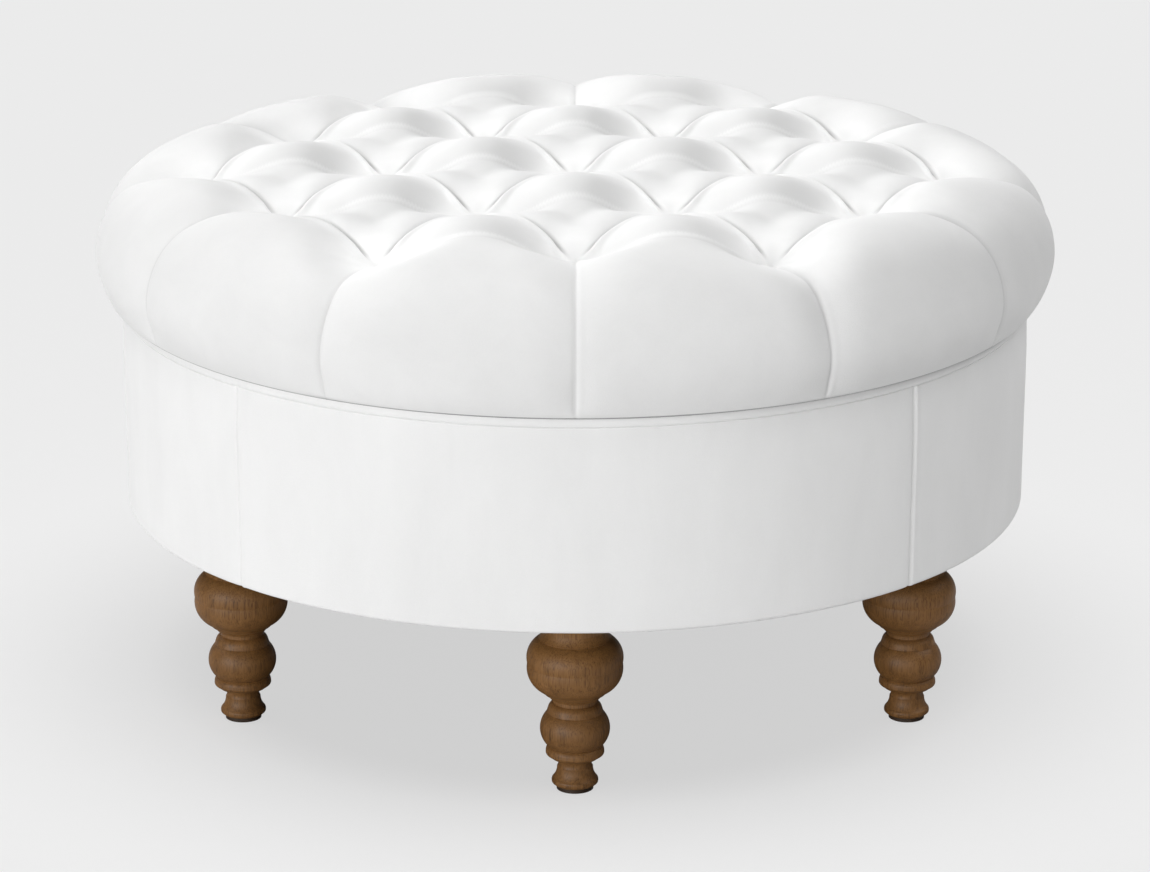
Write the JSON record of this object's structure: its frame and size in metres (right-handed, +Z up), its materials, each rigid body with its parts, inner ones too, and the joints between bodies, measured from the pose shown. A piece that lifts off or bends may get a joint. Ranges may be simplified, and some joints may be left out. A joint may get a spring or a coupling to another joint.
{
  "type": "round tufted footstool",
  "caption": "Round upholstered footstool with a deep-tufted cushion, a welt under it, a plain covered base and turned wooden legs.",
  "frame": {"origin": "on the floor under the middle of the stool", "axes": "+Z up, -Y towards the side that the picture shows, +X to its right"},
  "size_m": [0.7924, 0.7924, 0.4472],
  "materials": {
    "white_velvet": "short pile velvet, soft sheen",
    "fibre_filling": "matte fibre",
    "foam": "matte open-cell foam",
    "twine": "waxed",
    "fibre_board": "matte",
    "black_cambric": "matte nonwoven",
    "plywood": "raw",
    "brown_wood": "satin lacquer",
    "dark_plastic": "matte",
    "zinc_steel": "zinc plated",
    "steel_wire": "plain"
  },
  "bodies": {
    "root": {"border_cover_back": "white_velvet", "border_cover_front": "white_velvet", "border_cover_left": "white_velvet", "border_cover_right": "white_velvet", "bottom_ring": "plywood", "deck_screws": "zinc_steel", "dust_cover": "black_cambric", "dust_cover_staples": "steel_wire", "foot_glide_back": "dark_plastic", "foot_glide_back_left": "dark_plastic", "foot_glide_back_right": "dark_plastic", "foot_glide_front": "dark_plastic", "foot_glide_front_left": "dark_plastic", "foot_glide_front_right": "dark_plastic", "frame_screws": "zinc_steel", "hanger_bolts": "zinc_steel", "leg_back": "brown_wood", "leg_back_left": "brown_wood", "leg_back_right": "brown_wood", "leg_block_back": "plywood", "leg_block_back_left": "plywood", "leg_block_back_right": "plywood", "leg_block_front": "plywood", "leg_block_front_left": "plywood", "leg_block_front_right": "plywood", "leg_block_screws": "zinc_steel", "leg_front": "brown_wood", "leg_front_left": "brown_wood", "leg_front_right": "brown_wood", "piping_cord": "twine", "piping_cover": "white_velvet", "seat_cover": "white_velvet", "seat_cover_staples": "steel_wire", "seat_deck": "plywood", "seat_filling": "fibre_filling", "seat_foam": "foam", "side_wall_back": "plywood", "side_wall_front": "plywood", "tee_nuts": "zinc_steel", "top_ring": "plywood", "tuft_ties": "twine", "tuft_washers": "fibre_board", "upright_back": "plywood", "upright_back_left": "plywood", "upright_back_right": "plywood", "upright_front": "plywood", "upright_front_left": "plywood", "upright_front_right": "plywood", "wall_nails": "steel_wire", "wall_padding": "fibre_filling"}
  },
  "joints": []
}
